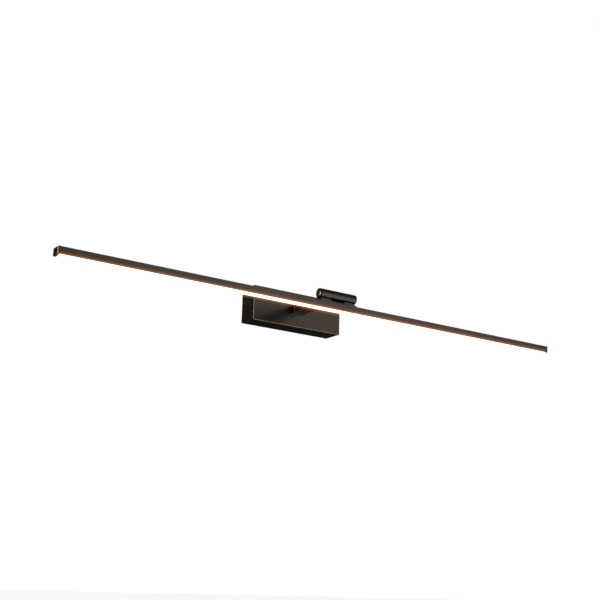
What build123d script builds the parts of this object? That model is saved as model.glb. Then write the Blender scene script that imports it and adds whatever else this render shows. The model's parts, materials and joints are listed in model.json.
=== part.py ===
from build123d import *
import os

# LED picture light for a wall: a wall box, a short square arm, a barrel hinge of three
# knuckles and a long slim light bar. Millimetres. The origin is the centre of the wall box's
# back face, in the plane of the wall. +X runs along the bar, +Y into the wall, +Z up.

# ---- driving dimensions ----
# wall box
box_width = 185.0
box_height = 62.0
box_depth = 40.0
cover_wall = 1.2
cover_bevel = 0.6
cover_edge_radius = 1.0
plate_gap = 0.3
plate_thickness = 1.5
plate_corner_radius = 3.0
tab_depth = 17.0
tab_height = 20.0
side_screw_y = -10.0
side_screw_z = 2.0
side_screw_head = 2.8
side_screw_length = 6.0
side_screw_crown = 0.35
side_screw_recess = (1.4, 3.0, 0.6)
wall_slot_pitch = 160.0
wall_slot_length = 9.0
wall_slot_width = 4.5
cable_x = -62.0
cable_bore = 8.0
grommet_radius = 7.0
grommet_lip_radius = 9.0
grommet_lip = 1.2
stiffener_thickness = 2.0
stiffener_width = 58.0
stiffener_height = 40.0

# supply and earth connections
terminal_xs = (-50.0, -28.0)
terminal_screw_xs = (-44.5, -33.5)
terminal_zs = (-10.0, 0.0, 10.0)
terminal_height = 30.0
terminal_depth = 14.0
terminal_slot_depth = 1.5
terminal_slot_width = 1.2
terminal_wire_radius = 1.7
terminal_screw_radius = 2.0
terminal_screw_sink = 2.5
earth_x = -6.0
earth_z = 18.0
earth_lug_thickness = 0.8
lead_radius = 1.1
lead_level = 5.0

# driver
driver_xs = (10.0, 70.0)
driver_wall = 1.5
driver_half_height = 19.0
driver_edge_radius = 2.0
driver_front_y = -25.0
driver_board_y = -9.0
driver_board_thickness = 1.6
driver_board_gap = 0.7
driver_screw_zs = (-23.5, 23.5)
driver_ear_radius = 4.0
driver_ear_half = 6.0
driver_post_inset = 6.0
lid_gap = 0.2
lid_rim_wall = 1.0
lid_rim_height = 1.6
output_wire_y = -20.0

# screws and their holes, as radii, and the gap round a press fit
fit_gap = 0.05
m3_shank = 1.5
m3_tapped = 1.55
m3_clearance = 1.65
m4_shank = 2.0
m4_tapped = 2.05
m4_clearance = 2.15
pivot_thread = 2.45
pivot_tapped = 2.5

# arm
arm_width = 24.0
arm_height = 12.0
arm_wall = 1.5
arm_edge_radius = 0.8
root_width = 28.0
root_height = 15.4
root_depth = 10.0
root_bevel = 0.4
root_socket_depth = 4.0
fixing_pitch = 18.0
lock_washer_thickness = 0.9
wire_diameter = 3.0
wire_bore = 4.6
bush_radius = 3.5
bush_hole = 3.6

# hinge
hinge_y = -158.0
barrel_diameter = 17.4
barrel_length = 74.2
middle_knuckle_length = 26.6
knuckle_gap = 0.6
heel_depth = 9.0
heel_bevel = 0.8
shoulder_depth = 12.5
spigot_length = 9.0
foot_half_length = 36.3
foot_front = 8.9
foot_back = 7.5
foot_height = 1.8
neck_front = 4.0
neck_top_z = -3.0
axle_diameter = 8.0
pivot_diameter = 6.0
running_clearance = 0.05
cap_flange = 1.8
cap_edge_radius = 0.8
cap_spigot_diameter = 12.2
cap_seat_diameter = 12.4
cap_seat_depth = 2.6
cap_dish_depth = 0.6
plug_diameter = 10.4
plug_inset = 0.4
plug_crown = 0.5
wire_drop_x = 30.0
axle_overlap = 8.5
axle_end = 26.0
pivot_thread_end = 5.2
pivot_seat_x = -27.4
disc_spring_height = 1.3
disc_spring_radius = 5.2

# light bar
bar_length = 1000.0
bar_depth = 19.0
bar_height = 12.0
bar_drop = 14.0
bar_wall = 1.3
bar_edge_bevel = 0.4
rail_gap = 1.8
rail_width = 1.0
rail_thickness = 0.8
end_cap_thickness = 3.0
end_cap_bevel = 0.5
end_cap_spigot = 8.0
diffuser_bulge = 1.5
diffuser_wall = 1.2
diffuser_gap = 0.1
snap_depth = 0.45
snap_rise = (2.2, 3.4)
snap_gap = 0.15
leg_rise = 4.6
saddle_thickness = 1.0
saddle_screw_rises = (3.0, 10.8)
saddle_screw_tip_z = -9.2
board_thickness = 1.2
board_end_gap = 9.0
led_pitch = 10.0
led_count = 98
led_size = (3.5, 2.8, 0.8)

# ---- derived places ----
over = 1.0
cover_inner_width = box_width - 2 * cover_wall
cover_inner_height = box_height - 2 * cover_wall
cover_front_inner_y = -(box_depth - cover_wall)
stiffener_inner_y = cover_front_inner_y + stiffener_thickness
plate_width = cover_inner_width - 2 * plate_gap
plate_height = cover_inner_height - 2 * plate_gap
lead_y = -plate_thickness - lead_level
driver_floor_y = -plate_thickness - driver_wall
driver_centre_x = sum(driver_xs) / 2
board_face_y = driver_board_y - driver_board_thickness
fixing_xs = (-fixing_pitch / 2, fixing_pitch / 2)
root_front_y = -(box_depth + root_depth)
root_floor_y = root_front_y + root_socket_depth
arm_end_y = hinge_y + shoulder_depth
barrel_radius = barrel_diameter / 2
barrel_half = barrel_length / 2
middle_half = middle_knuckle_length / 2
outer_start = middle_half + knuckle_gap
body_half = barrel_half - cap_flange
cap_seat_x = body_half - cap_seat_depth
axle_start = middle_half - axle_overlap
pivot_head_x = pivot_seat_x - disc_spring_height
bar_top_z = -bar_drop
bar_bottom_z = bar_top_z - bar_height
bar_ceiling_z = bar_top_z - bar_wall
saddle_top_z = bar_top_z + saddle_thickness
foot_top_z = bar_top_z + foot_height
foot_y = (hinge_y - foot_front, hinge_y + foot_back)
housing_half = bar_length / 2 - end_cap_thickness
channel_half = bar_depth / 2 - bar_wall
board_top_z = bar_ceiling_z - rail_gap
board_bottom_z = board_top_z - board_thickness
snap_bottom_z = bar_bottom_z + snap_rise[0]
snap_top_z = bar_bottom_z + snap_rise[1]
leg_top_z = bar_bottom_z + leg_rise
right_screw_xs = [outer_start + rise for rise in saddle_screw_rises]
left_screw_xs = [-x for x in right_screw_xs]
saddle_screw_xs = left_screw_xs + right_screw_xs

os.makedirs("parts", exist_ok=True)


# ---- shapes used by several sub-parts ----
def save(shape, node):
    """Write one named sub-part."""
    solids = shape.solids()
    body = solids[0] if len(solids) == 1 else Compound(children=list(solids))
    body.label = node
    export_step(body, f"parts/{node}.step")


def block(x, y, z):
    """Box from its (low, high) pairs along X, Y and Z."""
    size = [pair[1] - pair[0] for pair in (x, y, z)]
    centre = [(pair[0] + pair[1]) / 2 for pair in (x, y, z)]
    return Pos(*centre) * Box(*size)


def both_ways(half):
    """The (low, high) pair of a middle-centred span."""
    return (-half, half)


def rod_x(radius, low, high, y=0.0, z=0.0):
    """Cylinder along X between two stations."""
    return Pos((low + high) / 2, y, z) * Rot(0, 90, 0) * Cylinder(radius, high - low)


def rod_y(radius, low, high, x=0.0, z=0.0):
    """Cylinder along Y between two stations."""
    return Pos(x, (low + high) / 2, z) * Rot(90, 0, 0) * Cylinder(radius, high - low)


def rod_z(radius, low, high, x=0.0, y=0.0):
    """Cylinder along Z between two stations."""
    return Pos(x, y, (low + high) / 2) * Cylinder(radius, high - low)


def cone_x(radius_low, radius_high, low, high, y=0.0, z=0.0):
    """Cone along +X, with one radius at each end."""
    cone = Cone(radius_low, radius_high, high - low)
    return Pos((low + high) / 2, y, z) * Rot(0, 90, 0) * cone


def mirrored(shape):
    """The same shape on the other side of the object's middle plane."""
    return mirror(shape, about=Plane.YZ)


def bent_wire(points, radii, radius):
    """Round wire along straight runs that tangent arcs join."""
    path = FilletPolyline(*points, radius=radii)
    section = Plane(origin=path @ 0, z_dir=path % 0) * Circle(radius)
    return sweep(section, path=path)


def pan_head_screw(head, shank, head_height, seat_y, tip_y, x, z):
    """Cross-recessed screw along Y whose head sits on seat_y."""
    screw = rod_y(head, seat_y - head_height, seat_y, x, z)
    screw = fillet(screw.edges().sort_by(Axis.Y)[0], 0.4 * head_height)
    screw += rod_y(shank, seat_y, tip_y, x, z)
    long, short = 1.2 * head, 0.22 * head
    for size in ((long, short), (short, long)):
        screw -= Pos(x, seat_y - head_height, z) * Box(size[0], head_height, size[1])
    return screw


# ---- wall box ----
def make_mounting_plate():
    """Flat plate on the wall with a folded tab at each end for the cover's screws."""
    half_w = plate_width / 2
    cut = (-plate_thickness - over, over)
    plate = block(both_ways(half_w), (-plate_thickness, 0), both_ways(plate_height / 2))
    plate = fillet(plate.edges().filter_by(Axis.Y), plate_corner_radius)
    right_tab = block((half_w - plate_thickness, half_w), (-tab_depth, 0), both_ways(tab_height / 2))
    tab_cut = (half_w - plate_thickness - over, half_w + over)
    right_tab -= rod_x(m3_tapped, *tab_cut, side_screw_y, side_screw_z)
    plate = plate + right_tab + mirrored(right_tab)
    slot = extrude(SlotOverall(wall_slot_length, wall_slot_width), plate_thickness, both=True)
    for side in (-1, 1):
        plate -= Pos(side * wall_slot_pitch / 2, -plate_thickness / 2, 0) * Rot(90, 0, 0) * slot
    plate -= rod_y(grommet_radius + fit_gap, *cut, cable_x)
    plate -= rod_y(m4_tapped, *cut, earth_x, earth_z)
    for z in driver_screw_zs:
        plate -= rod_y(m3_tapped, *cut, driver_centre_x, z)
    return plate


def make_cable_grommet():
    """Rubber bush: a collar in the plate's cable hole and a lip on its inner face."""
    lip_y = -plate_thickness - grommet_lip
    collar = rod_y(grommet_radius, -plate_thickness, 0, cable_x)
    lip = rod_y(grommet_lip_radius, lip_y, -plate_thickness, cable_x)
    return collar + lip - rod_y(cable_bore / 2, lip_y - over, over, cable_x)


def make_canopy_cover():
    """Thin box, open at the wall, with bevelled front edges and a countersink in each side."""
    left = -box_width / 2
    outer = block(both_ways(box_width / 2), (-box_depth, 0), both_ways(box_height / 2))
    outer = fillet(outer.edges().filter_by(Axis.Y), cover_edge_radius)
    outer = chamfer(outer.faces().sort_by(Axis.Y)[0].edges(), cover_bevel)
    cavity_width = both_ways(cover_inner_width / 2)
    cover = outer - block(cavity_width, (cover_front_inner_y, over), both_ways(cover_inner_height / 2))
    front_cut = (-box_depth - over, cover_front_inner_y + over)
    cover -= rod_y(bush_hole, *front_cut)
    for x in fixing_xs:
        cover -= rod_y(m4_clearance, *front_cut, x)
    wall_x = (left, left + cover_wall)
    countersink = cone_x(side_screw_head + fit_gap, m3_clearance, *wall_x, side_screw_y, side_screw_z)
    return cover - countersink - mirrored(countersink)


def make_cover_side_screws():
    """Countersunk cross-head screws, one through each side of the cover into its tab."""
    left = -box_width / 2
    place = (side_screw_y, side_screw_z)
    screw = cone_x(side_screw_head, m3_shank, left, left + cover_wall, *place)
    screw += cone_x(0.7 * side_screw_head, side_screw_head, left - side_screw_crown, left, *place)
    screw += rod_x(m3_shank, left + cover_wall, left + side_screw_length, *place)
    for turn in (0, 90):
        screw -= Pos(left, *place) * Rot(turn, 0, 0) * Box(*side_screw_recess)
    return Compound(children=[screw.solid(), mirrored(screw).solid()])


def make_cover_stiffener():
    """Plate behind the cover's front face that spreads the arm's load."""
    depth = (cover_front_inner_y, stiffener_inner_y)
    plate = block(both_ways(stiffener_width / 2), depth, both_ways(stiffener_height / 2))
    plate = fillet(plate.edges().filter_by(Axis.Y), plate_corner_radius)
    plate -= rod_y(bush_hole, -box_depth, 0)
    for x in fixing_xs:
        plate -= rod_y(m4_clearance, -box_depth, 0, x)
    return plate


def make_terminal_block():
    """Three-pole block: a body with a wire way and a screw well for each pole."""
    x0, x1 = terminal_xs
    front_y = -plate_thickness - terminal_depth
    body = block(terminal_xs, (front_y, -plate_thickness), both_ways(terminal_height / 2))
    body = chamfer(body.edges().filter_by(Axis.X), 0.8)
    length_cut = (x0 - over, x1 + over)
    for z in terminal_zs:
        body -= rod_x(terminal_wire_radius, *length_cut, lead_y, z)
        for x in terminal_screw_xs:
            body -= rod_y(terminal_screw_radius + 0.2, front_y - over, lead_y, x, z)
    for low, high in zip(terminal_zs, terminal_zs[1:]):
        z = (low + high) / 2
        groove_z = (z - terminal_slot_width / 2, z + terminal_slot_width / 2)
        body -= block(length_cut, (front_y - over, front_y + terminal_slot_depth), groove_z)
    return body


def make_terminal_screws():
    """Six slotted clamping screws, two for each pole."""
    screws = []
    head_y = -plate_thickness - terminal_depth + terminal_screw_sink
    for z in terminal_zs:
        for x in terminal_screw_xs:
            screw = rod_y(terminal_screw_radius, head_y, lead_y - 1.5, x, z)
            screw -= block((x - 3, x + 3), (head_y - over, head_y + 0.8), (z - 0.3, z + 0.3))
            screws.append(screw.solid())
    return Compound(children=screws)


def make_earth_screw():
    """Brass pan-head screw in the mounting plate."""
    seat_y = -plate_thickness - earth_lug_thickness
    return pan_head_screw(3.6, m4_shank, 2.4, seat_y, 0, earth_x, earth_z)


def make_earth_lug():
    """Ring tag under the earth screw, with a crimp barrel for the wire."""
    front_y = -plate_thickness - earth_lug_thickness
    tail = (earth_x - 10, earth_x - 5)
    ring = rod_y(4.2, front_y, -plate_thickness, earth_x, earth_z)
    ring += block((tail[0], earth_x), (front_y, -plate_thickness), (earth_z - 1.6, earth_z + 1.6))
    ring -= rod_y(m4_tapped + fit_gap, front_y - over, over, earth_x, earth_z)
    barrel = rod_x(2.0, *tail, lead_y, earth_z)
    web = block(tail, (lead_y, front_y), (earth_z - 1.2, earth_z + 1.2))
    bore = rod_x(lead_radius + fit_gap, tail[0] - over, tail[1] + over, lead_y, earth_z)
    return ring + barrel + web - bore


def make_earth_wire():
    """Short wire from the terminal block to the ring tag."""
    start = (terminal_xs[1] - 3, lead_y, terminal_zs[2])
    knee = (terminal_xs[1] + 4, lead_y, terminal_zs[2])
    rise = (earth_x - 13, lead_y, earth_z)
    end = (earth_x - 5, lead_y, earth_z)
    return bent_wire([start, knee, rise, end], [3.0, 3.0], lead_radius)


def make_supply_wires():
    """Live and neutral wires from the terminal block into the driver's side."""
    span = (terminal_xs[1] - 3, driver_xs[0] + 3)
    return Compound(children=[rod_x(lead_radius, *span, lead_y, z).solid() for z in terminal_zs[:2]])


# ---- driver ----
def driver_inside(gap):
    """X and Z spans inside the tray's walls, less a gap all round."""
    inset = driver_wall + gap
    return (driver_xs[0] + inset, driver_xs[1] - inset), both_ways(driver_half_height - inset)


def make_driver_case():
    """Open plastic tray with board posts, two fixing ears and wire holes in its side."""
    x0, x1 = driver_xs
    side_cut = (x0 - over, x0 + driver_wall + over)
    inner_x, inner_z = driver_inside(0)
    tray = block(driver_xs, (driver_front_y, -plate_thickness), both_ways(driver_half_height))
    tray = fillet(tray.edges().filter_by(Axis.Y), driver_edge_radius)
    tray -= block(inner_x, (driver_front_y - over, driver_floor_y), inner_z)
    post_z = driver_half_height - driver_post_inset
    for x in (x0 + driver_post_inset, x1 - driver_post_inset):
        for z in (-post_z, post_z):
            tray += rod_y(2.5, driver_board_y, driver_floor_y, x, z)
    floor_y = (driver_floor_y, -plate_thickness)
    for side, z in zip((-1, 1), driver_screw_zs):
        ear_x = (driver_centre_x - driver_ear_half, driver_centre_x + driver_ear_half)
        tray += block(ear_x, floor_y, sorted((side * (driver_half_height - over), z)))
        tray += rod_y(driver_ear_radius, *floor_y, driver_centre_x, z)
        tray -= rod_y(m3_clearance, driver_floor_y - over, 0, driver_centre_x, z)
    for z in terminal_zs[:2]:
        tray -= rod_x(lead_radius + 0.2, *side_cut, lead_y, z)
    return tray - rod_x(wire_diameter / 2 + 0.2, *side_cut, output_wire_y)


def make_driver_lid():
    """Flat lid with a locating rim."""
    lid = block(driver_xs, (driver_front_y - driver_wall, driver_front_y), both_ways(driver_half_height))
    lid = fillet(lid.edges().filter_by(Axis.Y), driver_edge_radius)
    for gap, join in ((lid_gap, True), (lid_gap + lid_rim_wall, False)):
        span_x, span_z = driver_inside(gap)
        layer = block(span_x, (driver_front_y, driver_front_y + lid_rim_height), span_z)
        lid = lid + layer if join else lid - layer
    return lid


def make_driver_screws():
    """Pan-head screws through the driver's ears into the plate."""
    place = (2.8, m3_shank, 2.0, driver_floor_y, 0, driver_centre_x)
    return Compound(children=[pan_head_screw(*place, z).solid() for z in driver_screw_zs])


def make_driver_board():
    """Circuit board on the tray's posts."""
    span_x, span_z = driver_inside(driver_board_gap)
    return block(span_x, (board_face_y, driver_board_y), span_z)


def make_driver_transformer():
    """E-core with its winding."""
    x = driver_centre_x + 4
    depth = (board_face_y - 12, board_face_y)
    window = (board_face_y - 12 - over, board_face_y + over)
    core = block((x - 9, x + 9), depth, (-8, 8)) - block((x - 6, x + 6), window, (-5, 5))
    core += block((x - 2.5, x + 2.5), depth, (-8, 8))
    winding = block((x - 5.8, x + 5.8), (board_face_y - 11, board_face_y - 0.6), (-4.8, 4.8))
    return core + fillet(winding.edges().filter_by(Axis.Y), 1.5)


def make_driver_capacitors():
    """Two electrolytic capacitors standing on the board."""
    cans = []
    for z, radius, length in ((8, 5.0, 13), (-8, 4.0, 11)):
        can = rod_y(radius, board_face_y - length, board_face_y, driver_xs[1] - 11, z)
        can = fillet(can.edges().sort_by(Axis.Y)[0], 0.8)
        cans.append(can.solid())
    return Compound(children=cans)


# ---- arm ----
def make_arm_root_block():
    """Block on the cover's front: a socket for the arm, a wire way and two threaded holes."""
    root = block(both_ways(root_width / 2), (root_front_y, -box_depth), both_ways(root_height / 2))
    root = fillet(root.edges().filter_by(Axis.Y), arm_edge_radius)
    root = chamfer(root.faces().sort_by(Axis.Y)[0].edges(), root_bevel)
    socket_y = (root_front_y - over, root_floor_y)
    socket = block(both_ways(arm_width / 2), socket_y, both_ways(arm_height / 2))
    root -= fillet(socket.edges().filter_by(Axis.Y), arm_edge_radius)
    root -= rod_y(bush_hole, root_front_y, -box_depth + over)
    for x in fixing_xs:
        root -= rod_y(m4_tapped, root_floor_y - over, -box_depth + over, x)
    return root


def make_arm_fixing_screws():
    """Two cap screws from inside the box into the root block."""
    screws = []
    seat_y = stiffener_inner_y + lock_washer_thickness
    head_y = seat_y + 2.8
    for x in fixing_xs:
        screw = rod_y(3.3, seat_y, head_y, x)
        screw = fillet(screw.edges().sort_by(Axis.Y)[-1], 0.5)
        screw += rod_y(m4_shank, root_floor_y + 0.2, seat_y, x)
        socket = Plane.XZ.offset(-head_y) * RegularPolygon(1.7, 6)
        screw -= Pos(x, 0, 0) * extrude(socket, 1.6, both=True)
        screws.append(screw.solid())
    return Compound(children=screws)


def make_arm_lock_washers():
    """Split lock washers under the fixing screws."""
    washers = []
    for x in fixing_xs:
        washer = rod_y(3.6, stiffener_inner_y, stiffener_inner_y + lock_washer_thickness, x)
        washer -= rod_y(2.1, -box_depth, 0, x)
        washer -= block((x, x + 5), (-box_depth, 0), (-0.35, 0.35))
        washers.append(washer.solid())
    return Compound(children=washers)


def make_wire_bush():
    """Flanged plastic bush that lines the wire's way out of the box."""
    bush = rod_y(bush_radius, root_floor_y, stiffener_inner_y)
    bush += rod_y(4.8, stiffener_inner_y, stiffener_inner_y + 1.2)
    return bush - rod_y(wire_diameter / 2 + 0.3, root_front_y, 0)


def make_arm_tube():
    """Rectangular tube between the root block and the middle knuckle."""
    tube = block(both_ways(arm_width / 2), (arm_end_y, root_floor_y), both_ways(arm_height / 2))
    tube = fillet(tube.edges().filter_by(Axis.Y), arm_edge_radius)
    bore_x = both_ways(arm_width / 2 - arm_wall)
    bore_z = both_ways(arm_height / 2 - arm_wall)
    return tube - block(bore_x, (arm_end_y - over, root_floor_y + over), bore_z)


# ---- hinge ----
def make_arm_knuckle():
    """Middle knuckle: a barrel with a square heel, a shoulder against the tube and a spigot in it."""
    width = both_ways(middle_half)
    knuckle = rod_x(barrel_radius, *width, hinge_y)
    heel = block(width, (hinge_y, hinge_y + heel_depth), both_ways(barrel_radius))
    heel = chamfer(heel.faces().sort_by(Axis.Y)[-1].edges().filter_by(Axis.X), heel_bevel)
    shoulder = block(width, (hinge_y + 2, arm_end_y), both_ways(arm_height / 2))
    spigot_x = both_ways(arm_width / 2 - arm_wall - 0.1)
    spigot_z = both_ways(arm_height / 2 - arm_wall - 0.1)
    spigot = block(spigot_x, (arm_end_y, arm_end_y + spigot_length), spigot_z)
    knuckle = knuckle + heel + shoulder + spigot
    knuckle -= rod_y(wire_bore / 2, hinge_y, arm_end_y + spigot_length + over)
    knuckle -= rod_x(axle_diameter / 2, -4.2, middle_half + over, hinge_y)
    return knuckle - rod_x(pivot_tapped, -middle_half - over, -pivot_thread_end, hinge_y)


def make_left_pivot_screw():
    """Shoulder screw on which the left knuckle turns."""
    head_end = pivot_head_x - 3.0
    screw = rod_x(pivot_thread, -middle_half, -pivot_thread_end - 0.3, hinge_y)
    screw += rod_x(pivot_diameter / 2, pivot_head_x, -middle_half, hinge_y)
    head = rod_x(5.0, head_end, pivot_head_x, hinge_y)
    screw += fillet(head.edges().sort_by(Axis.X)[0], 0.5)
    socket = extrude(RegularPolygon(2.3, 6), 2.0, both=True)
    return screw - Pos(head_end, hinge_y, 0) * Rot(0, 90, 0) * socket


def make_disc_spring():
    """Conical spring washer that loads the joint."""
    bore = pivot_diameter / 2 + 0.1
    tip = pivot_seat_x - disc_spring_height
    rim = pivot_seat_x - 0.5
    cone = cone_x(3.6, disc_spring_radius, tip, rim, hinge_y)
    cone += rod_x(disc_spring_radius, rim, pivot_seat_x - 0.05, hinge_y)
    cone -= cone_x(bore, 4.6, tip, pivot_seat_x, hinge_y)
    return cone - rod_x(bore, tip - over, pivot_seat_x + over, hinge_y)


def make_right_axle_tube():
    """Hollow axle pressed into the middle knuckle; the wire runs through it."""
    tube = rod_x(axle_diameter / 2, axle_start, axle_end, hinge_y)
    return tube - rod_x(wire_bore / 2, axle_start - over, axle_end + over, hinge_y)


def make_friction_washers():
    """Thin washers in the two gaps between the knuckles."""
    washers = []
    for side, bore in ((-1, pivot_diameter), (1, axle_diameter)):
        low, high = sorted((side * middle_half, side * (outer_start - 0.05)))
        washer = rod_x(barrel_radius - 0.6, low, high, hinge_y)
        washer -= rod_x(bore / 2 + 0.1, low - over, high + over, hinge_y)
        washers.append(washer.solid())
    return Compound(children=washers)


def outer_knuckle_blank():
    """Right-hand barrel on a neck and a wide foot."""
    width = (outer_start, body_half)
    barrel = rod_x(barrel_radius, *width, hinge_y)
    neck = block(width, (hinge_y - neck_front, foot_y[1]), (saddle_top_z, neck_top_z))
    foot = block((outer_start, foot_half_length), foot_y, (saddle_top_z, foot_top_z))
    return barrel + neck + foot


def drill_foot(knuckle, xs):
    """Threaded holes for the saddle screws."""
    for x in xs:
        knuckle -= rod_z(m3_tapped, saddle_top_z - over, saddle_screw_tip_z + 0.4, x, hinge_y)
    return knuckle


def make_left_knuckle():
    """Left outer knuckle: a running bore, a seat for the spring and a seat for the cap."""
    knuckle = mirrored(outer_knuckle_blank())
    knuckle -= rod_x(pivot_diameter / 2 + running_clearance, -body_half, -outer_start + over, hinge_y)
    knuckle -= rod_x(cap_seat_diameter / 2, -body_half - over, pivot_seat_x, hinge_y)
    return drill_foot(knuckle, left_screw_xs)


def make_right_knuckle():
    """Right outer knuckle: a running bore, a wire chamber and a wire way down the neck."""
    knuckle = outer_knuckle_blank()
    knuckle -= rod_x(axle_diameter / 2 + running_clearance, outer_start - over, axle_end + 0.5, hinge_y)
    knuckle -= rod_x(5.0, axle_end + 0.2, cap_seat_x, hinge_y)
    knuckle -= rod_x(cap_seat_diameter / 2, cap_seat_x, body_half + over, hinge_y)
    knuckle -= rod_z(wire_bore / 2, saddle_top_z - over, 0, wire_drop_x, hinge_y)
    return drill_foot(knuckle, right_screw_xs)


def make_right_pivot_cap():
    """Black cap on the end of the barrel, with a dished hole for the plug and a spigot inside."""
    bore = plug_diameter / 2
    flange = rod_x(barrel_radius, body_half, barrel_half, hinge_y)
    flange = fillet(flange.edges().sort_by(Axis.X)[-1], cap_edge_radius)
    cap = flange + rod_x(cap_spigot_diameter / 2, cap_seat_x, body_half, hinge_y)
    cap -= rod_x(bore, cap_seat_x - over, barrel_half + over, hinge_y)
    return cap - cone_x(bore, bore + cap_dish_depth, barrel_half - cap_dish_depth, barrel_half, hinge_y)


def make_right_pivot_plug():
    """Domed plug in the middle of the cap."""
    radius = plug_diameter / 2
    sphere_radius = (radius ** 2 + plug_crown ** 2) / (2 * plug_crown)
    top_x = barrel_half - plug_inset
    disc = rod_x(radius, cap_seat_x, top_x, hinge_y)
    return disc & (Pos(top_x - sphere_radius, hinge_y, 0) * Sphere(sphere_radius))


# ---- light bar ----
def make_saddle_plate():
    """Strip between the two feet and the bar."""
    cut = (bar_top_z - over, saddle_top_z + over)
    plate = block(both_ways(foot_half_length), foot_y, (bar_top_z, saddle_top_z))
    plate = fillet(plate.edges().filter_by(Axis.Z), 1.0)
    for x in saddle_screw_xs:
        plate -= rod_z(m3_clearance, *cut, x, hinge_y)
    return plate - rod_z(wire_bore / 2, *cut, wire_drop_x, hinge_y)


def make_saddle_screws():
    """Low-head screws from inside the bar up into the feet."""
    screws = []
    head_z = bar_ceiling_z - 1.5
    for x in saddle_screw_xs:
        screw = rod_z(2.7, head_z, bar_ceiling_z, x, hinge_y)
        screw += rod_z(m3_shank, bar_ceiling_z, saddle_screw_tip_z, x, hinge_y)
        socket = Plane.XY.offset(head_z) * RegularPolygon(1.1, 6)
        screw -= Pos(x, hinge_y, 0) * extrude(socket, 0.9, both=True)
        screws.append(screw.solid())
    return Compound(children=screws)


def section_solid(half_outline):
    """Symmetric section drawn out along the housing, from (across, up) points of its right half."""
    left = [(-across, up) for across, up in reversed(half_outline) if across > 0]
    points = [(0, hinge_y + across, bar_top_z + up) for across, up in half_outline + left]
    face = make_face(Polyline(*points, close=True))
    return Pos(-housing_half, 0, 0) * extrude(face, 2 * housing_half, dir=(1, 0, 0))


def rail(up, away):
    """Outline of one board rail on the channel's wall: its near face at up, its far face on by away."""
    inner = channel_half - rail_width
    return [(channel_half, up), (inner, up), (inner, up + away), (channel_half, up + away)]


def make_bar_housing():
    """Extruded channel, open below, with rails for the board and snap grooves."""
    outer = bar_depth / 2
    groove_top = snap_top_z - bar_top_z
    groove_bottom = snap_bottom_z - bar_top_z
    groove = [
        (channel_half, groove_bottom),
        (channel_half + snap_depth, groove_bottom + snap_depth),
        (channel_half + snap_depth, groove_top),
        (channel_half, groove_top),
    ]
    lower_rail = rail(board_bottom_z - rail_thickness - bar_top_z, rail_thickness)
    upper_rail = rail(board_top_z - bar_top_z, rail_thickness)
    outline = [(0, 0), (outer, 0), (outer, -bar_height), (channel_half, -bar_height)]
    outline += groove + lower_rail + upper_rail
    outline += [(channel_half, -bar_wall), (0, -bar_wall)]
    housing = section_solid(outline)
    housing = chamfer(housing.edges().filter_by(Axis.X).group_by(Axis.Z)[-1], bar_edge_bevel)
    cut = (bar_ceiling_z - 0.5, bar_top_z + over)
    for x in saddle_screw_xs:
        housing -= rod_z(m3_clearance, *cut, x, hinge_y)
    return housing - rod_z(wire_bore / 2, *cut, wire_drop_x, hinge_y)


def bulge(half_width, low, high):
    """Shallow arched strip under the bar, between two stations."""
    left = (low, hinge_y - half_width, bar_bottom_z)
    right = (low, hinge_y + half_width, bar_bottom_z)
    lowest = (low, hinge_y, bar_bottom_z - diffuser_bulge)
    face = make_face([ThreePointArc(left, lowest, right), Line(right, left)])
    return extrude(face, high - low, dir=(1, 0, 0))


def make_diffuser():
    """Opal strip: a bulged face below and two legs with snap ridges."""
    outer = channel_half - diffuser_gap
    inner = outer - diffuser_wall
    ridge = snap_depth - fit_gap
    bottom = snap_bottom_z - bar_top_z + snap_gap
    top = snap_top_z - bar_top_z - snap_gap
    tip = leg_top_z - bar_top_z
    outline = [
        (outer, -bar_height),
        (outer, bottom),
        (outer + ridge, bottom + ridge),
        (outer + ridge, top - 0.2),
        (outer, top),
        (outer, tip),
        (inner, tip),
        (inner, diffuser_wall - bar_height),
    ]
    return section_solid(outline) + bulge(outer, -housing_half, housing_half)


def make_right_end_cap():
    """End plate with the bar's outline and a spigot inside the channel."""
    low = housing_half
    high = bar_length / 2
    plate_y = (hinge_y - bar_depth / 2, hinge_y + bar_depth / 2)
    plate = block((low, high), plate_y, (bar_bottom_z, bar_top_z))
    plate += bulge(channel_half - diffuser_gap, low, high)
    plate = chamfer(plate.faces().sort_by(Axis.X)[-1].edges(), end_cap_bevel)
    half = channel_half - rail_width - 0.6
    spigot_z = (leg_top_z + 0.3, bar_ceiling_z - 0.2)
    return plate + block((low - end_cap_spigot, low), (hinge_y - half, hinge_y + half), spigot_z)


def make_led_board():
    """Long aluminium-core board in the channel's rails."""
    half = channel_half - 0.1
    board = block(
        both_ways(housing_half - board_end_gap),
        (hinge_y - half, hinge_y + half),
        (board_bottom_z, board_top_z),
    )
    return board - rod_z(wire_bore / 2, board_bottom_z - over, board_top_z + over, wire_drop_x, hinge_y)


def make_led_chips():
    """Row of LED packages on the board's underside."""
    chips = []
    first = -led_pitch * (led_count - 1) / 2
    for index in range(led_count):
        place = Pos(first + index * led_pitch, hinge_y, board_bottom_z - led_size[2] / 2)
        chips.append((place * Box(*led_size)).solid())
    return Compound(children=chips)


# ---- wires along the arm and into the bar ----
def make_arm_wire():
    """Wire from the driver through the arm to the hinge axis."""
    points = [
        (driver_xs[0] + 6, output_wire_y, 0),
        (0, output_wire_y, 0),
        (0, hinge_y, 0),
        (axle_end, hinge_y, 0),
    ]
    return bent_wire(points, [4.5, 3.4], wire_diameter / 2)


def make_bar_wire():
    """Wire from the hinge axis down the right neck to the board."""
    points = [
        (axle_end, hinge_y, 0),
        (wire_drop_x, hinge_y, 0),
        (wire_drop_x, hinge_y, board_bottom_z - 0.6),
    ]
    return bent_wire(points, [3.4], wire_diameter / 2)


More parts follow.
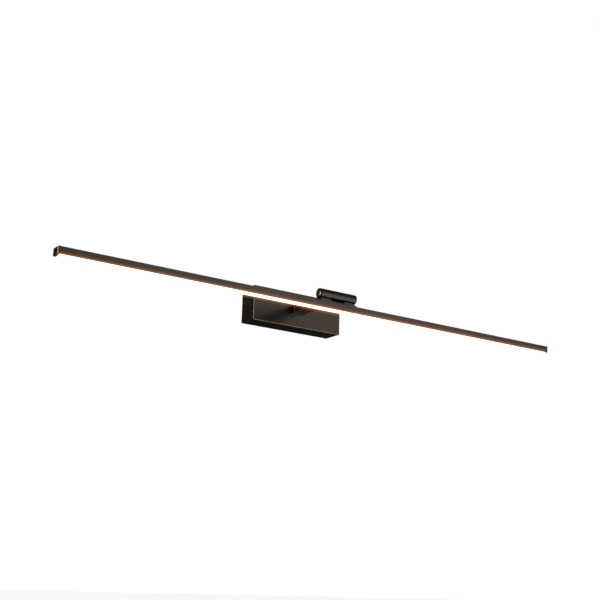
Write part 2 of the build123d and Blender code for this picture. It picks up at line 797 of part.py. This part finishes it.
SUB_PARTS = {
    "mounting_plate": make_mounting_plate,
    "cable_grommet": make_cable_grommet,
    "canopy_cover": make_canopy_cover,
    "cover_side_screws": make_cover_side_screws,
    "cover_stiffener": make_cover_stiffener,
    "terminal_block": make_terminal_block,
    "terminal_screws": make_terminal_screws,
    "earth_screw": make_earth_screw,
    "earth_lug": make_earth_lug,
    "earth_wire": make_earth_wire,
    "supply_wires": make_supply_wires,
    "driver_case": make_driver_case,
    "driver_lid": make_driver_lid,
    "driver_screws": make_driver_screws,
    "driver_board": make_driver_board,
    "driver_transformer": make_driver_transformer,
    "driver_capacitors": make_driver_capacitors,
    "arm_root_block": make_arm_root_block,
    "arm_fixing_screws": make_arm_fixing_screws,
    "arm_lock_washers": make_arm_lock_washers,
    "wire_bush": make_wire_bush,
    "arm_tube": make_arm_tube,
    "arm_knuckle": make_arm_knuckle,
    "arm_wire": make_arm_wire,
    "left_pivot_screw": make_left_pivot_screw,
    "disc_spring": make_disc_spring,
    "right_axle_tube": make_right_axle_tube,
    "friction_washers": make_friction_washers,
    "left_knuckle": make_left_knuckle,
    "right_knuckle": make_right_knuckle,
    "right_pivot_cap": make_right_pivot_cap,
    "right_pivot_plug": make_right_pivot_plug,
    "saddle_plate": make_saddle_plate,
    "saddle_screws": make_saddle_screws,
    "bar_housing": make_bar_housing,
    "right_end_cap": make_right_end_cap,
    "diffuser": make_diffuser,
    "led_board": make_led_board,
    "led_chips": make_led_chips,
    "bar_wire": make_bar_wire,
}
MIRRORED_PARTS = {
    "left_pivot_cap": "right_pivot_cap",
    "left_pivot_plug": "right_pivot_plug",
    "left_end_cap": "right_end_cap",
}

made = {node: make() for node, make in SUB_PARTS.items()}
for node, source in MIRRORED_PARTS.items():
    made[node] = mirrored(made[source])
for node, shape in made.items():
    save(shape, node)
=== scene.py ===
import json
import math
import bpy
from mathutils import Matrix, Vector


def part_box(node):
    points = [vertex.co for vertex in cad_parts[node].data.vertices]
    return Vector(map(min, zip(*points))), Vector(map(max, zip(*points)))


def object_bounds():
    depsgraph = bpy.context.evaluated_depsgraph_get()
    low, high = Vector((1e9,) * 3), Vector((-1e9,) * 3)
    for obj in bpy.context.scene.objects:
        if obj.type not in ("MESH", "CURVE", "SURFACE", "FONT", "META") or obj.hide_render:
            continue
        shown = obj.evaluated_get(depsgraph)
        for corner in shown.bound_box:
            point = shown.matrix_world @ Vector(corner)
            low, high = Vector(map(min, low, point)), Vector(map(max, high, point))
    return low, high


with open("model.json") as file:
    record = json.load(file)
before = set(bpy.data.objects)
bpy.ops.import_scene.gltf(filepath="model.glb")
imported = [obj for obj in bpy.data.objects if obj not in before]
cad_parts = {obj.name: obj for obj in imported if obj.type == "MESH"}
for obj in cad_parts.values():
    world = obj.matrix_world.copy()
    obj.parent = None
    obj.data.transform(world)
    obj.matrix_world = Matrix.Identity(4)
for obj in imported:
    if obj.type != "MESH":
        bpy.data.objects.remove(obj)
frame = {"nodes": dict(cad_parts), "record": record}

cad_low, cad_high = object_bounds()
nodes = frame["nodes"]
mm = 0.001

# ---- camera: its place, its turns and its lens ----
camera_place = (-1.0025, -1.5516, -0.4782)
camera_yaw = math.radians(33.655)
camera_pitch = math.radians(15.339)
camera_roll = math.radians(1.556)
camera_lens_mm = 62.83

# ---- stage ----
floor_drop = 0.75
floor_size = 60.0
floor_cloud_mm = 400.0

# ---- soft lamps: name, place, side of the square, power, colour ----
lamp_aim = (0.0, -0.12, 0.0)
lamps = (
    ("key", (1.4, -2.4, 1.2), 1.6, 2.0, (1.0, 0.98, 0.96)),
    ("fill_left", (-2.2, -1.5, 0.6), 1.0, 3.0, (1.0, 1.0, 1.0)),
    ("top", (0.0, -0.4, 2.6), 2.0, 1.5, (1.0, 1.0, 1.0)),
)

# ---- what the polished faces reflect: a dim room with round soft panels ----
# A panel has a direction, the cosines of the angles from it at which it begins and is full, and a level.
room_level = 0.03
room_colour = (1.0, 0.965, 0.93)
panels = (
    ((0.45, -0.83, -0.34), 0.778, 0.850, 1.55),  # wide, in front and below: box front, bar and barrel
    ((0.56, -0.78, -0.30), 0.955, 0.995, 0.55),  # the bright line along the barrel
    ((0.50, -0.50, 0.70), 0.45, 0.97, 0.12),  # faint, in front and above: top of the barrel
    ((0.50, -0.30, -0.80), 0.86, 0.98, 0.60),  # low in front: underside of the barrel
    ((-0.54, 0.80, 0.27), 0.60, 0.95, 0.03),  # behind on the left: left side of the box
    ((-0.80, -0.54, 0.27), 0.90, 0.985, 1.30),  # left: upright bevels at the box's left
    ((0.80, 0.54, 0.27), 0.86, 0.98, 0.35),  # right: upright bevels at the box's right
    ((-0.81, 0.54, 0.20), 0.984, 0.997, 2.40),  # small and bright: the spot on the brass plug
    ((-0.15, 0.20, 0.97), 0.78, 0.98, 0.80),  # overhead: level tops
    ((0.15, 0.83, 0.54), 0.92, 0.99, 0.90),  # behind and above: tops seen from the front
    ((0.0, 0.20, -0.98), 0.80, 0.97, 0.50),  # straight below: undersides
    ((-0.96, 0.0, 0.28), 0.88, 0.98, 0.50),  # far left: ends of the bar and the box
)

# ---- light from the diffuser, and the fringe that a lens puts round it ----
led_pitch_mm = 10.0
led_colour = (1.0, 0.83, 0.72)
led_strength = 1.5
halo_threshold = 1.01
halo_pixels = 5
halo_colour = (1.0, 0.30, 0.0)


# ================= node helpers =================
materials = {}  # each material made here, by the name of its slot


class Shader:
    """One material's node tree, with short calls for the nodes that it uses."""

    def __init__(self, name):
        materials[name] = bpy.data.materials.new(name)
        materials[name].use_nodes = True
        self.tree = materials[name].node_tree
        self.bsdf = self.tree.nodes["Principled BSDF"]
        self.coords = self.node("ShaderNodeTexCoord")

    def node(self, kind, **values):
        made = self.tree.nodes.new(kind)
        for key, value in values.items():
            setattr(made, key, value)
        return made

    def link(self, source, target):
        self.tree.links.new(source, target)

    def put(self, target, value):
        """Link an output, or set a constant."""
        if isinstance(value, bpy.types.NodeSocket):
            self.link(value, target)
        elif isinstance(value, tuple) and len(value) == 3 and target.type == "RGBA":
            target.default_value = (*value, 1.0)
        else:
            target.default_value = value

    def math(self, operation, a, b=0.0):
        made = self.node("ShaderNodeMath", operation=operation)
        self.put(made.inputs[0], a)
        self.put(made.inputs[1], b)
        return made.outputs[0]

    def place(self, scale=(1.0, 1.0, 1.0), offset=(0.0, 0.0, 0.0)):
        """Object coordinates in millimetres, multiplied by scale and moved by offset."""
        made = self.node("ShaderNodeMapping")
        made.inputs["Scale"].default_value = [factor / mm for factor in scale]
        made.inputs["Location"].default_value = offset
        self.link(self.coords.outputs["Object"], made.inputs["Vector"])
        return made.outputs["Vector"]

    def noise(self, size_mm, stretch=(1.0, 1.0, 1.0), detail=3.0, rough=0.55, offset=0.0):
        """Noise with features about size_mm across. The offset keeps layers from lining up."""
        made = self.node("ShaderNodeTexNoise")
        made.inputs["Scale"].default_value = 1.0 / size_mm
        made.inputs["Detail"].default_value = detail
        made.inputs["Roughness"].default_value = rough
        self.link(self.place(stretch, (offset, offset, offset)), made.inputs["Vector"])
        return made.outputs["Fac"]

    def ramp(self, value, low, high, out_low=0.0, out_high=1.0):
        """Smooth step from low to high, mapped to the out range."""
        made = self.node("ShaderNodeMapRange", interpolation_type="SMOOTHSTEP")
        self.put(made.inputs["Value"], value)
        made.inputs["From Min"].default_value = low
        made.inputs["From Max"].default_value = high
        made.inputs["To Min"].default_value = out_low
        made.inputs["To Max"].default_value = out_high
        return made.outputs["Result"]

    def mix(self, fac, a, b):
        made = self.node("ShaderNodeMix", data_type="RGBA")
        self.put(made.inputs[0], fac)
        self.put(made.inputs[6], a)
        self.put(made.inputs[7], b)
        return made.outputs[2]

    def bump(self, height, strength, distance_mm, normal=None):
        made = self.node("ShaderNodeBump")
        made.inputs["Strength"].default_value = strength
        made.inputs["Distance"].default_value = distance_mm * mm
        self.link(height, made.inputs["Height"])
        if normal is not None:
            self.link(normal, made.inputs["Normal"])
        return made.outputs["Normal"]

    def axis(self, source, name):
        """One of X, Y, Z of a vector output."""
        made = self.node("ShaderNodeSeparateXYZ")
        self.link(source, made.inputs[0])
        return made.outputs[name]

    def bevel_mask(self):
        """1 on faces that lean between two axes, which are the bevels of a box-shaped part.

        The total below is 0 on a face square to an axis and 0.5 on a bevel of 45 degrees.
        """
        normal = self.coords.outputs["Normal"]
        parts = [self.math("ABSOLUTE", self.axis(normal, name)) for name in "XYZ"]
        pairs = [self.math("MULTIPLY", parts[i], parts[(i + 1) % 3]) for i in range(3)]
        total = self.math("ADD", self.math("ADD", pairs[0], pairs[1]), pairs[2])
        return self.ramp(total, 0.22, 0.42)

    def set(self, **values):
        """Principled sockets by name, with _ for a space."""
        for key, value in values.items():
            self.put(self.bsdf.inputs[key.replace("_", " ")], value)


# ================= materials =================
def edges_worn_and_painted_glint(s, body, fine):
    """The plating's colour with lighter bevels: edge wear with a painted highlight, a painted warm
    reflection on level edges and grey on upright ones.
    """
    grey = (0.16, 0.152, 0.142)
    # Painted reflection: level bevels are tinted warm as if lit from below. Upright bevels get a grey
    # painted highlight over edge wear.
    painted_warm_glint = (0.46, 0.35, 0.17)
    worn = s.ramp(fine, 0.25, 0.6, 0.45, 1.0)
    levelness = s.math("ABSOLUTE", s.axis(s.coords.outputs["Normal"], "Z"))
    edge_wear_and_glint_colour = s.mix(s.ramp(levelness, 0.2, 0.6), grey, painted_warm_glint)
    return s.mix(s.math("MULTIPLY", worn, s.bevel_mask()), body, edge_wear_and_glint_colour)


def plated_black(name, paints_edge_wear_and_glint, rough_base, body_low, body_high):
    """Polished black-nickel plate over steel: pearl tone, polishing marks and faint smudges."""
    s = Shader(name)
    cloud = s.noise(38.0, detail=2.0)
    colour = s.mix(s.ramp(cloud, 0.35, 0.68), body_low, body_high)
    if paints_edge_wear_and_glint:
        # Bevels lighter: edge wear and a painted highlight, warm on level edges.
        colour = edges_worn_and_painted_glint(s, colour, s.noise(3.5, detail=4.0, offset=7.0))
    hairline = s.noise(0.5, stretch=(0.02, 1.0, 1.0), detail=3.0, offset=3.0)
    polish = s.ramp(cloud, 0.3, 0.7, rough_base, rough_base + 0.05)
    smudge = s.ramp(s.noise(16.0, detail=4.0, rough=0.7, offset=21.0), 0.56, 0.75, 0.0, 0.07)
    rough = s.math("ADD", s.math("ADD", polish, s.math("MULTIPLY", hairline, 0.05)), smudge)
    peel = s.bump(s.noise(2.2, detail=2.0, offset=11.0), 0.10, 0.02)
    relief = s.bump(hairline, 0.06, 0.01, peel)
    s.set(Base_Color=colour, Metallic=1.0, Roughness=rough, Normal=relief)


def bar_black():
    """Black anodised extrusion: long drawing lines, satin gloss, and lighter warm bevels that are wear and
    a painted highlight.
    """
    s = Shader("bar_black")
    lines = s.noise(0.35, stretch=(0.004, 1.0, 1.0), detail=4.0)
    cloud = s.noise(60.0, stretch=(0.5, 1.0, 1.0), detail=2.0, offset=5.0)
    body = s.mix(s.ramp(cloud, 0.35, 0.65), (0.069, 0.062, 0.057), (0.079, 0.066, 0.055))
    # Bevels lighter and warm: edge wear, and a painted highlight where light catches the edge.
    edge_wear_and_glint = s.math("MULTIPLY", s.bevel_mask(), s.ramp(s.noise(5.0, offset=9.0), 0.3, 0.6, 0.5, 1.0))
    colour = s.mix(edge_wear_and_glint, body, (0.30, 0.26, 0.20))
    rough = s.math("ADD", 0.21, s.math("MULTIPLY", lines, 0.14))
    relief = s.bump(lines, 0.12, 0.012)
    s.set(Base_Color=colour, Metallic=1.0, Roughness=rough, Normal=relief, Anisotropic=0.4)


def cap_black():
    """Die-cast end cap, black, with a fine blasted surface and pale bevels that are worn paint and a
    painted highlight.
    """
    s = Shader("cap_black")
    grain = s.noise(0.35, detail=5.0, rough=0.7)
    body = s.mix(s.ramp(grain, 0.35, 0.65), (0.018, 0.016, 0.015), (0.034, 0.030, 0.027))
    # Pale bevels: worn paint, and a painted highlight along the edge.
    edge_wear_and_glint = s.math("MULTIPLY", s.bevel_mask(), s.ramp(s.noise(2.5, offset=4.0), 0.3, 0.6, 0.5, 1.0))
    colour = s.mix(edge_wear_and_glint, body, (0.62, 0.58, 0.52))
    rough = s.ramp(grain, 0.2, 0.8, 0.24, 0.38)
    s.set(Base_Color=colour, Metallic=1.0, Roughness=rough, Normal=s.bump(grain, 0.15, 0.02))


def brass_gold():
    """Lacquered brass turned on a lathe: fine rings round the hinge axis and patches of tarnish."""
    s = Shader("brass_gold")
    wave = s.node("ShaderNodeTexWave", wave_type="RINGS", rings_direction="X")
    wave.inputs["Scale"].default_value = 1.1  # rings about 0.3 mm apart
    wave.inputs["Distortion"].default_value = 0.4
    low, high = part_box("left_pivot_plug")
    to_centre = [-(a + b) / 2 / mm for a, b in zip(low, high)]
    s.link(s.place(offset=to_centre), wave.inputs["Vector"])
    tarnish = s.ramp(s.noise(3.0, detail=4.0, rough=0.65), 0.42, 0.68)
    colour = s.mix(tarnish, (0.64, 0.53, 0.30), (0.46, 0.36, 0.17))
    rough = s.math("ADD", s.math("MULTIPLY", tarnish, 0.10), 0.13)
    grooves = s.bump(wave.outputs["Fac"], 0.12, 0.02)
    s.set(Base_Color=colour, Metallic=1.0, Roughness=rough, Normal=grooves)


def steel(name, light, dark, rough, grain_mm=6.0, metallic=1.0):
    """Plated or bright steel with a mottled passivated surface."""
    s = Shader(name)
    mottle = s.noise(grain_mm, detail=5.0, rough=0.6)
    scratch = s.noise(0.3, stretch=(0.05, 1.0, 1.0), detail=2.0, offset=13.0)
    colour = s.mix(s.ramp(mottle, 0.38, 0.64), light, dark)
    roughness = s.math("ADD", rough, s.math("MULTIPLY", scratch, 0.16))
    relief = s.bump(scratch, 0.10, 0.01)
    s.set(Base_Color=colour, Metallic=metallic, Roughness=roughness, Normal=relief)


def plastic(name, light, dark, rough, grain_mm=0.5, depth=0.25, coat=0.0, specular=0.5):
    """Moulded plastic or rubber: fine spark grain and faint mottling."""
    s = Shader(name)
    grain = s.noise(grain_mm, detail=4.0, rough=0.7)
    cloud = s.noise(12.0, detail=3.0, offset=17.0)
    colour = s.mix(s.ramp(cloud, 0.35, 0.68), light, dark)
    roughness = s.ramp(grain, 0.25, 0.75, rough - 0.06, rough + 0.08)
    s.set(Base_Color=colour, Roughness=roughness, Normal=s.bump(grain, depth, 0.03))
    s.set(Coat_Weight=coat, Specular_IOR_Level=specular)


def circuit_board(name, mask, copper, pitch_mm):
    """Solder mask over a staggered grid of slightly raised tracks."""
    s = Shader(name)
    tracks = s.node("ShaderNodeTexBrick", offset=0.5)
    tracks.inputs["Scale"].default_value = 1.0
    tracks.inputs["Mortar Size"].default_value = 0.12
    tracks.inputs["Brick Width"].default_value = pitch_mm
    tracks.inputs["Row Height"].default_value = pitch_mm * 0.45
    s.link(s.place(), tracks.inputs["Vector"])
    fac = tracks.outputs["Fac"]
    weave = s.noise(0.6, detail=2.0)
    darker = tuple(0.85 * channel for channel in mask)
    colour = s.mix(fac, s.mix(s.ramp(weave, 0.3, 0.7), mask, darker), copper)
    rough = s.ramp(weave, 0.2, 0.8, 0.28, 0.42)
    s.set(Base_Color=colour, Roughness=rough, Normal=s.bump(fac, 0.3, 0.05))


def striped_wire():
    """Green wire insulation with slanting yellow stripes."""
    s = Shader("wire_earth")
    wave = s.node("ShaderNodeTexWave", bands_direction="DIAGONAL")
    wave.inputs["Scale"].default_value = 0.35  # stripes about 1.8 mm apart along an axis
    s.link(s.place(), wave.inputs["Vector"])
    colour = s.mix(s.ramp(wave.outputs["Fac"], 0.55, 0.6), (0.06, 0.32, 0.06), (0.80, 0.66, 0.06))
    grain = s.noise(0.4, detail=2.0)
    rough = s.ramp(grain, 0.2, 0.8, 0.35, 0.5)
    s.set(Base_Color=colour, Roughness=rough, Normal=s.bump(grain, 0.1, 0.01))


def led_yellow():
    """LED packages: lit phosphor."""
    s = Shader("led_yellow")
    speck = s.noise(0.3, detail=3.0)
    colour = s.mix(speck, (0.95, 0.72, 0.20), (1.0, 0.86, 0.42))
    rough = s.ramp(speck, 0.2, 0.8, 0.3, 0.5)
    s.set(Base_Color=colour, Roughness=rough, Emission_Color=colour, Emission_Strength=3.0)


def opal_diffuser():
    """Lit opal acrylic: even glow with a trace of ripple at the LEDs' pitch, and fine extrusion lines."""
    s = Shader("opal_diffuser")
    along = s.axis(s.place(), "X")
    ripple = s.math("COSINE", s.math("MULTIPLY", along, 2 * math.pi / led_pitch_mm))
    lines = s.noise(0.4, stretch=(0.005, 1.0, 1.0), detail=2.0)
    even = s.math("ADD", 0.94, s.math("MULTIPLY", lines, 0.06))
    level = s.math("ADD", s.math("MULTIPLY", ripple, 0.03), even)
    dimmer = tuple(0.9 * channel for channel in led_colour)
    glow = s.mix(level, dimmer, led_colour)
    base = s.mix(lines, (0.93, 0.91, 0.87), (0.97, 0.96, 0.93))
    s.set(
        Base_Color=base,
        Roughness=s.ramp(lines, 0.2, 0.8, 0.32, 0.45),
        Normal=s.bump(lines, 0.08, 0.01),
        Emission_Color=glow,
        Emission_Strength=led_strength,
    )


def make_materials():
    """One material for each slot of the record, and one more for plated parts with round faces."""
    plated_black(
        "plated_black",
        paints_edge_wear_and_glint=True,
        rough_base=0.25,
        body_low=(0.055, 0.048, 0.040),
        body_high=(0.064, 0.053, 0.041),
    )
    plated_black(
        "plated_black_round",
        paints_edge_wear_and_glint=False,
        rough_base=0.18,
        body_low=(0.041, 0.037, 0.033),
        body_high=(0.048, 0.042, 0.036),
    )
    bar_black()
    cap_black()
    brass_gold()
    steel("screw_black", (0.16, 0.12, 0.08), (0.09, 0.075, 0.06), 0.24, grain_mm=2.0)
    steel("zinc_steel", (0.66, 0.67, 0.68), (0.50, 0.52, 0.54), 0.34, grain_mm=9.0, metallic=0.6)
    steel("spring_steel", (0.42, 0.42, 0.43), (0.30, 0.30, 0.33), 0.22)
    steel("tinned_copper", (0.72, 0.70, 0.66), (0.60, 0.56, 0.50), 0.32)
    plastic(
        "ring_black", (0.005, 0.005, 0.005), (0.008, 0.0075, 0.007), 0.42,
        grain_mm=0.4, depth=0.15, specular=0.2,
    )
    plastic("rubber_black", (0.030, 0.030, 0.031), (0.045, 0.044, 0.043), 0.62, grain_mm=0.4)
    plastic("washer_fibre", (0.26, 0.12, 0.07), (0.18, 0.08, 0.05), 0.7, grain_mm=0.25, depth=0.5)
    plastic("terminal_plastic", (0.82, 0.81, 0.76), (0.76, 0.75, 0.70), 0.42)
    plastic("bush_nylon", (0.86, 0.85, 0.80), (0.80, 0.78, 0.72), 0.4)
    plastic("driver_plastic", (0.86, 0.86, 0.85), (0.80, 0.80, 0.79), 0.48, grain_mm=0.6)
    plastic("ferrite", (0.10, 0.10, 0.11), (0.07, 0.07, 0.075), 0.55, grain_mm=0.3, depth=0.5)
    plastic(
        "capacitor_sleeve", (0.05, 0.06, 0.11), (0.04, 0.045, 0.08), 0.3,
        grain_mm=0.8, depth=0.1, coat=0.3,
    )
    plastic("wire_black", (0.030, 0.030, 0.030), (0.045, 0.043, 0.041), 0.45, grain_mm=0.4, depth=0.15)
    plastic("wire_supply", (0.26, 0.12, 0.06), (0.20, 0.09, 0.05), 0.42, grain_mm=0.4, depth=0.15)
    striped_wire()
    circuit_board("board_green", (0.03, 0.20, 0.08), (0.05, 0.30, 0.13), pitch_mm=5.0)
    circuit_board("board_white", (0.88, 0.88, 0.86), (0.78, 0.77, 0.72), pitch_mm=led_pitch_mm)
    led_yellow()
    opal_diffuser()


def dress_nodes():
    """Give every CAD node its slot's material, but knuckles and root block the plating for round faces."""
    slot_of = {entry["node"]: entry["material_slot"] for entry in frame["record"]["subparts"]}
    for name, obj in nodes.items():
        slot = slot_of[name]
        if name.endswith("_knuckle") or name == "arm_root_block":
            slot = "plated_black_round"
        if not obj.material_slots:
            obj.data.materials.append(materials[slot])
        for material_slot in obj.material_slots:
            material_slot.material = materials[slot]


# ================= stage, lights and camera =================
def make_floor():
    """Plain pale floor well below the light, which no polished face reflects."""
    mesh = bpy.data.meshes.new("floor")
    half = floor_size / 2
    z = cad_low.z - floor_drop
    corners = [(-half, -half, z), (half, -half, z), (half, half, z), (-half, half, z)]
    mesh.from_pydata(corners, [], [(0, 1, 2, 3)])
    floor = bpy.data.objects.new("floor", mesh)
    bpy.context.scene.collection.objects.link(floor)
    s = Shader("floor_pale")
    tone = s.mix(s.noise(floor_cloud_mm, detail=2.0), (0.975, 0.975, 0.975), (0.99, 0.99, 0.99))
    s.set(Base_Color=tone, Roughness=0.9)
    mesh.materials.append(materials["floor_pale"])
    floor.visible_glossy = False


def panel_light(tree, direction, begins, full, level):
    """Strength of one round soft panel in the direction that the world is looked up in."""
    coords = tree.nodes.new("ShaderNodeTexCoord")
    cosine = tree.nodes.new("ShaderNodeVectorMath")
    cosine.operation = "DOT_PRODUCT"
    cosine.inputs[1].default_value = Vector(direction).normalized()
    tree.links.new(coords.outputs["Generated"], cosine.inputs[0])
    lobe = tree.nodes.new("ShaderNodeMapRange")
    lobe.interpolation_type = "SMOOTHSTEP"
    lobe.inputs["From Min"].default_value = begins
    lobe.inputs["From Max"].default_value = full
    lobe.inputs["To Max"].default_value = level
    tree.links.new(cosine.outputs["Value"], lobe.inputs["Value"])
    return lobe.outputs["Result"]


def make_world():
    """White to the camera and to diffuse light; reflections see the dim room and its panels."""
    world = bpy.data.worlds.new("studio")
    bpy.context.scene.world = world
    world.use_nodes = True
    tree = world.node_tree
    tree.nodes.clear()
    studio = tree.nodes.new("ShaderNodeBackground")
    studio.inputs["Color"].default_value = (*room_colour, 1)
    total = None
    for panel in panels:
        add = tree.nodes.new("ShaderNodeMath")
        add.operation = "ADD"
        add.inputs[0].default_value = room_level
        if total is not None:
            tree.links.new(total, add.inputs[0])
        tree.links.new(panel_light(tree, *panel), add.inputs[1])
        total = add.outputs["Value"]
    tree.links.new(total, studio.inputs["Strength"])
    white = tree.nodes.new("ShaderNodeBackground")
    white.inputs["Color"].default_value = (1, 1, 1, 1)
    path = tree.nodes.new("ShaderNodeLightPath")
    mix = tree.nodes.new("ShaderNodeMixShader")
    tree.links.new(path.outputs["Is Glossy Ray"], mix.inputs["Fac"])
    tree.links.new(white.outputs["Background"], mix.inputs[1])
    tree.links.new(studio.outputs["Background"], mix.inputs[2])
    out = tree.nodes.new("ShaderNodeOutputWorld")
    tree.links.new(mix.outputs["Shader"], out.inputs["Surface"])


def make_lamps():
    """Square soft lamps aimed at the object."""
    for name, place, side, power, colour in lamps:
        data = bpy.data.lights.new(name, "AREA")
        data.shape = "SQUARE"
        data.size = side
        data.energy = power
        data.color = colour
        lamp = bpy.data.objects.new(name, data)
        bpy.context.scene.collection.objects.link(lamp)
        lamp.location = place
        lamp.rotation_euler = (Vector(lamp_aim) - Vector(place)).to_track_quat("-Z", "Y").to_euler()


def make_camera():
    """Camera below and to the left of the light, looking up at it."""
    data = bpy.data.cameras.new("camera")
    data.lens = camera_lens_mm
    camera = bpy.data.objects.new("camera", data)
    bpy.context.scene.collection.objects.link(camera)
    turn = Matrix.Rotation(-camera_yaw, 4, "Z")
    turn @= Matrix.Rotation(math.pi / 2 + camera_pitch, 4, "X")
    turn @= Matrix.Rotation(camera_roll, 4, "Z")
    camera.matrix_world = Matrix.Translation(camera_place) @ turn
    bpy.context.scene.camera = camera


def make_halo():
    """Warm fringe round the lit strip, as a lens gives: the over-bright part, blurred and tinted."""
    scene = bpy.context.scene
    scene.use_nodes = True
    tree = scene.node_tree
    tree.nodes.clear()
    layers = tree.nodes.new("CompositorNodeRLayers")
    cut = tree.nodes.new("CompositorNodeMixRGB")
    cut.blend_type = "SUBTRACT"
    cut.inputs[2].default_value = (halo_threshold, halo_threshold, halo_threshold, 1)
    cut.use_clamp = True
    blur = tree.nodes.new("CompositorNodeBlur")
    blur.filter_type = "GAUSS"
    blur.size_x = halo_pixels
    blur.size_y = halo_pixels
    tint = tree.nodes.new("CompositorNodeMixRGB")
    tint.blend_type = "MULTIPLY"
    tint.inputs[2].default_value = (*halo_colour, 1)
    add = tree.nodes.new("CompositorNodeMixRGB")
    add.blend_type = "ADD"
    out = tree.nodes.new("CompositorNodeComposite")
    tree.links.new(layers.outputs["Image"], cut.inputs[1])
    tree.links.new(cut.outputs["Image"], blur.inputs["Image"])
    tree.links.new(blur.outputs["Image"], tint.inputs[1])
    tree.links.new(layers.outputs["Image"], add.inputs[1])
    tree.links.new(tint.outputs["Image"], add.inputs[2])
    tree.links.new(add.outputs["Image"], out.inputs["Image"])


make_materials()
dress_nodes()
make_floor()
make_world()
make_lamps()
make_camera()
make_halo()
bpy.context.scene.view_settings.view_transform = "Standard"
